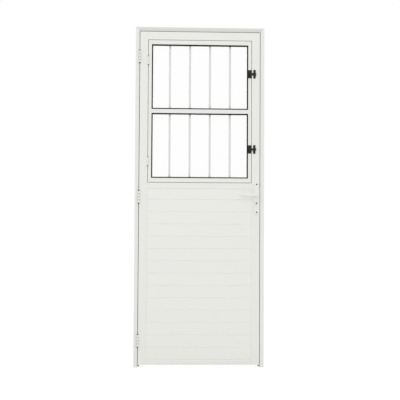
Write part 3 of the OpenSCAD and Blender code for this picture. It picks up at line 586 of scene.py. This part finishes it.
@dataclass
class Sash:
    """Glazed sash with its gaskets, hinges and slide bolts."""

    base_screw_reach: float = 13.5 * MM
    keeper_screw_reach: float = 15.0 * MM
    plate_t: float = 1.6 * MM
    screw_r: float = 2.9 * MM
    screw_h: float = 1.1 * MM
    ends: tuple[str, ...] = ("upper", "lower")

    def dress(self, nodes: dict[str, bpy.types.Object], palette: Palette) -> None:
        """Gives the sash's solids their finishes.

        Args:
            nodes: the solids' objects by name.
            palette: the door's finishes.
        """
        for name in ("sash_hinge_stile", "sash_lock_stile"):
            dress(nodes[name], palette.upright)
        for name in ("sash_top_rail", "sash_mid_rail", "sash_bottom_rail"):
            dress(nodes[name], palette.level)
        for name in ("sash_hinge_leaf_wings", "sash_hinge_sash_wings"):
            dress(nodes[name], palette.fittings)
        dress(nodes["sash_rail_screws"], palette.steel)
        dress(nodes["sash_hinge_pins"], palette.dark_steel)
        for end in self.ends:
            dress(nodes["glass_" + end], palette.glass)
            dress(nodes["gasket_" + end], palette.gasket)
            for piece in ("bolt_base_", "bolt_keeper_", "sash_bolt_"):
                dress(nodes[piece + end], palette.black)

    def plate_places(self, kind: str, reach: float) -> list[Point]:
        """Places of the screws above and below the bolt on each plate of a kind.

        Args:
            kind: start of the plates' names.
            reach: distance of a screw from the bolt's middle.

        Returns:
            Two places for each plate.
        """
        places: list[Point] = []
        for end in self.ends:
            middle = centre(kind + end)
            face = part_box(kind + end)[1][1] - self.plate_t
            places += [(middle.x, face, middle.z + side * reach) for side in (-1, 1)]
        return places

    def build(self, tree: ScrewTree, palette: Palette) -> None:
        """Adds the screws of the slide bolts' bases and keepers.

        Args:
            tree: the screw tree.
            palette: the door's finishes.
        """
        bases = self.plate_places("bolt_base_", self.base_screw_reach)
        keepers = self.plate_places("bolt_keeper_", self.keeper_screw_reach)
        ScrewGroup("bolt_base_screws", "sash", "dark_steel", Facing.FRONT, bases,
                   self.screw_r, self.screw_h).build(tree, palette.dark_steel)
        ScrewGroup("bolt_keeper_screws", "leaf", "dark_steel", Facing.FRONT, keepers,
                   self.screw_r, self.screw_h).build(tree, palette.dark_steel)


@dataclass
class Lock:
    """Lock, cylinder, handle plates and levers."""

    plate_head_r: float = 4.4 * MM
    plate_head_h: float = 0.35 * MM
    face_screw_r: float = 2.6 * MM
    face_inset: float = 5.0 * MM

    def dress(self, nodes: dict[str, bpy.types.Object], palette: Palette) -> None:
        """Gives the lock's solids their finishes.

        Args:
            nodes: the solids' objects by name.
            palette: the door's finishes.
        """
        for name in ("handle_plate_inside", "handle_plate_outside", "lever_inside", "lever_outside"):
            dress(nodes[name], palette.fittings)
        dress(nodes["lock_cylinder"], palette.nickel)
        dress(nodes["cylinder_plug"], palette.plug)
        dress(nodes["handle_plate_screws"], palette.dark_steel)
        for name in ("lock_case", "lock_faceplate", "lever_spindle",
                     "lock_follower", "latch_bolt", "dead_bolt"):
            dress(nodes[name], palette.steel)

    def build(self, tree: ScrewTree, palette: Palette) -> None:
        """Adds the recessed heads of the plate screws and of the faceplate screws.

        Args:
            tree: the screw tree.
            palette: the door's finishes.
        """
        low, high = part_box("handle_plate_screws")
        x = (low[0] + high[0]) / 2
        radius = (high[0] - low[0]) / 2
        heads = [(x, low[1], z) for z in (low[2] + radius, high[2] - radius)]
        ScrewGroup("handle_screw_heads", "leaf", "dark_steel", Facing.FRONT, heads,
                   self.plate_head_r, self.plate_head_h).build(tree, palette.dark_steel)
        low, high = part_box("lock_faceplate")
        face = [(high[0], 0.0, z) for z in (low[2] + self.face_inset, high[2] - self.face_inset)]
        ScrewGroup("faceplate_screws", "leaf", "steel", Facing.LOCK_SIDE, face,
                   self.face_screw_r, self.plate_head_h).build(tree, palette.steel)


@dataclass
class Studio:
    """White studio: floor, world, one soft lamp and the camera."""

    eye: Point = (-0.1317, -4.2084, 0.8934)
    yaw_deg: float = -1.846
    pitch_deg: float = -1.822
    roll_deg: float = 0.314
    focal_px: float = 679.0
    image_px: float = 400.0
    sensor_mm: float = 36.0
    floor_half: float = 30.0
    floor_tone: Colour = (0.75, 0.75, 0.75)
    floor_shade_tone: Colour = (0.3, 0.3, 0.3)
    floor_glow: float = 0.78
    world_light: float = 0.95
    world_shown: float = 1.0
    key_power: float = 34.0
    key_place: Point = (-1.1, -3.9, 3.2)
    key_size: float = 6.0
    target: Point = (0.0, 0.0, 1.15)

    def build(self) -> None:
        """Makes the whole studio."""
        self.build_world()
        self.build_floor()
        self.build_key()
        self.build_camera()

    @staticmethod
    def seen_rays(sheet: NodeSheet) -> bpy.types.NodeSocket:
        """Adds the test for rays that show the background.

        Args:
            sheet: the tree's nodes.

        Returns:
            A socket that is 1 for camera, glossy and transmission rays.
        """
        rays = sheet.add("ShaderNodeLightPath").outputs
        seen = rays["Is Camera Ray"]
        for kind in ("Is Glossy Ray", "Is Transmission Ray"):
            either = sheet.add("ShaderNodeMath", {0: seen, 1: rays[kind]}, operation="MAXIMUM")
            seen = either.outputs[0]
        return seen

    def build_world(self) -> None:
        """Makes a world that looks white and lights the door softly."""
        world = bpy.data.worlds.new("studio")
        world.use_nodes = True
        world.node_tree.nodes.clear()
        sheet = NodeSheet(world.node_tree)
        soft, shown = (
            sheet.add("ShaderNodeBackground", {"Color": rgba(WHITE), "Strength": strength}).outputs[0]
            for strength in (self.world_light, self.world_shown)
        )
        mixed = sheet.add("ShaderNodeMixShader", {0: self.seen_rays(sheet), 1: soft, 2: shown})
        sheet.add("ShaderNodeOutputWorld", {"Surface": mixed.outputs[0]})
        bpy.context.scene.world = world

    def build_floor(self) -> None:
        """Makes a pale floor that looks white and keeps the door's shadow."""
        half = self.floor_half
        mesh = bpy.data.meshes.new("studio_floor")
        corners = [(-half, -half, 0.0), (half, -half, 0.0), (half, half, 0.0), (-half, half, 0.0)]
        mesh.from_pydata(corners, [], [(0, 1, 2, 3)])
        floor = bpy.data.objects.new("studio_floor", mesh)
        bpy.context.scene.collection.objects.link(floor)
        material, sheet = fresh_material("pale_floor")
        matt = sheet.add("ShaderNodeBsdfDiffuse", {"Color": rgba(self.floor_tone)})
        faint = sheet.add("ShaderNodeBsdfDiffuse", {"Color": rgba(self.floor_shade_tone)})
        glow = sheet.add("ShaderNodeEmission", {"Color": rgba(WHITE), "Strength": self.floor_glow})
        shown = sheet.add("ShaderNodeAddShader", {0: glow.outputs[0], 1: faint.outputs[0]})
        mixed = sheet.add("ShaderNodeMixShader", {
            0: self.seen_rays(sheet), 1: matt.outputs[0], 2: shown.outputs[0]})
        sheet.add("ShaderNodeOutputMaterial", {"Surface": mixed.outputs[0]})
        mesh.materials.append(material)

    def build_key(self) -> None:
        """Hangs one large soft lamp above and to the left of the door's front."""
        lamp = bpy.data.lights.new("key_lamp", "AREA")
        lamp.energy = self.key_power
        lamp.shape = "SQUARE"
        lamp.size = self.key_size
        hung = bpy.data.objects.new("key_lamp", lamp)
        bpy.context.scene.collection.objects.link(hung)
        # The lamp only lights: neither the camera nor a gloss shows it
        hung.visible_camera = False
        hung.visible_glossy = False
        hung.location = self.key_place
        aim = Vector(self.target) - Vector(self.key_place)
        hung.rotation_euler = aim.to_track_quat("-Z", "Y").to_euler()

    def build_camera(self) -> None:
        """Sets the camera where the picture was taken from."""
        turn = (
            Matrix.Rotation(math.radians(self.roll_deg), 3, "Z")
            @ Matrix.Rotation(math.radians(self.pitch_deg), 3, "X")
            @ Matrix.Rotation(math.radians(self.yaw_deg), 3, "Y")
        )
        level_view = Matrix(((1, 0, 0), (0, 0, -1), (0, 1, 0)))
        right, down, ahead = turn @ level_view
        pose = Matrix((right, -down, -ahead)).transposed().to_4x4()
        pose.translation = self.eye
        camera = bpy.data.cameras.new("door_camera")
        camera.sensor_fit = "HORIZONTAL"
        camera.sensor_width = self.sensor_mm
        camera.lens = self.focal_px / self.image_px * self.sensor_mm
        held = bpy.data.objects.new("door_camera", camera)
        bpy.context.scene.collection.objects.link(held)
        held.matrix_world = pose
        bpy.context.scene.camera = held


def main() -> None:
    """Dresses the door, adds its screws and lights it."""
    logging.basicConfig(level=logging.INFO, format="%(message)s")
    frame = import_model()
    nodes = frame["nodes"]
    palette = Palette.mixed()
    door_frame, leaf, sash, lock = DoorFrame(), Leaf(), Sash(), Lock()
    for assembly in (door_frame, leaf, sash, lock):
        assembly.dress(nodes, palette)
    tree = ScrewTree()
    for assembly in (door_frame, sash, lock):
        assembly.build(tree, palette)
    Studio().build()
    bpy.context.scene.view_settings.view_transform = "Standard"


if __name__ == "__main__":
    main()
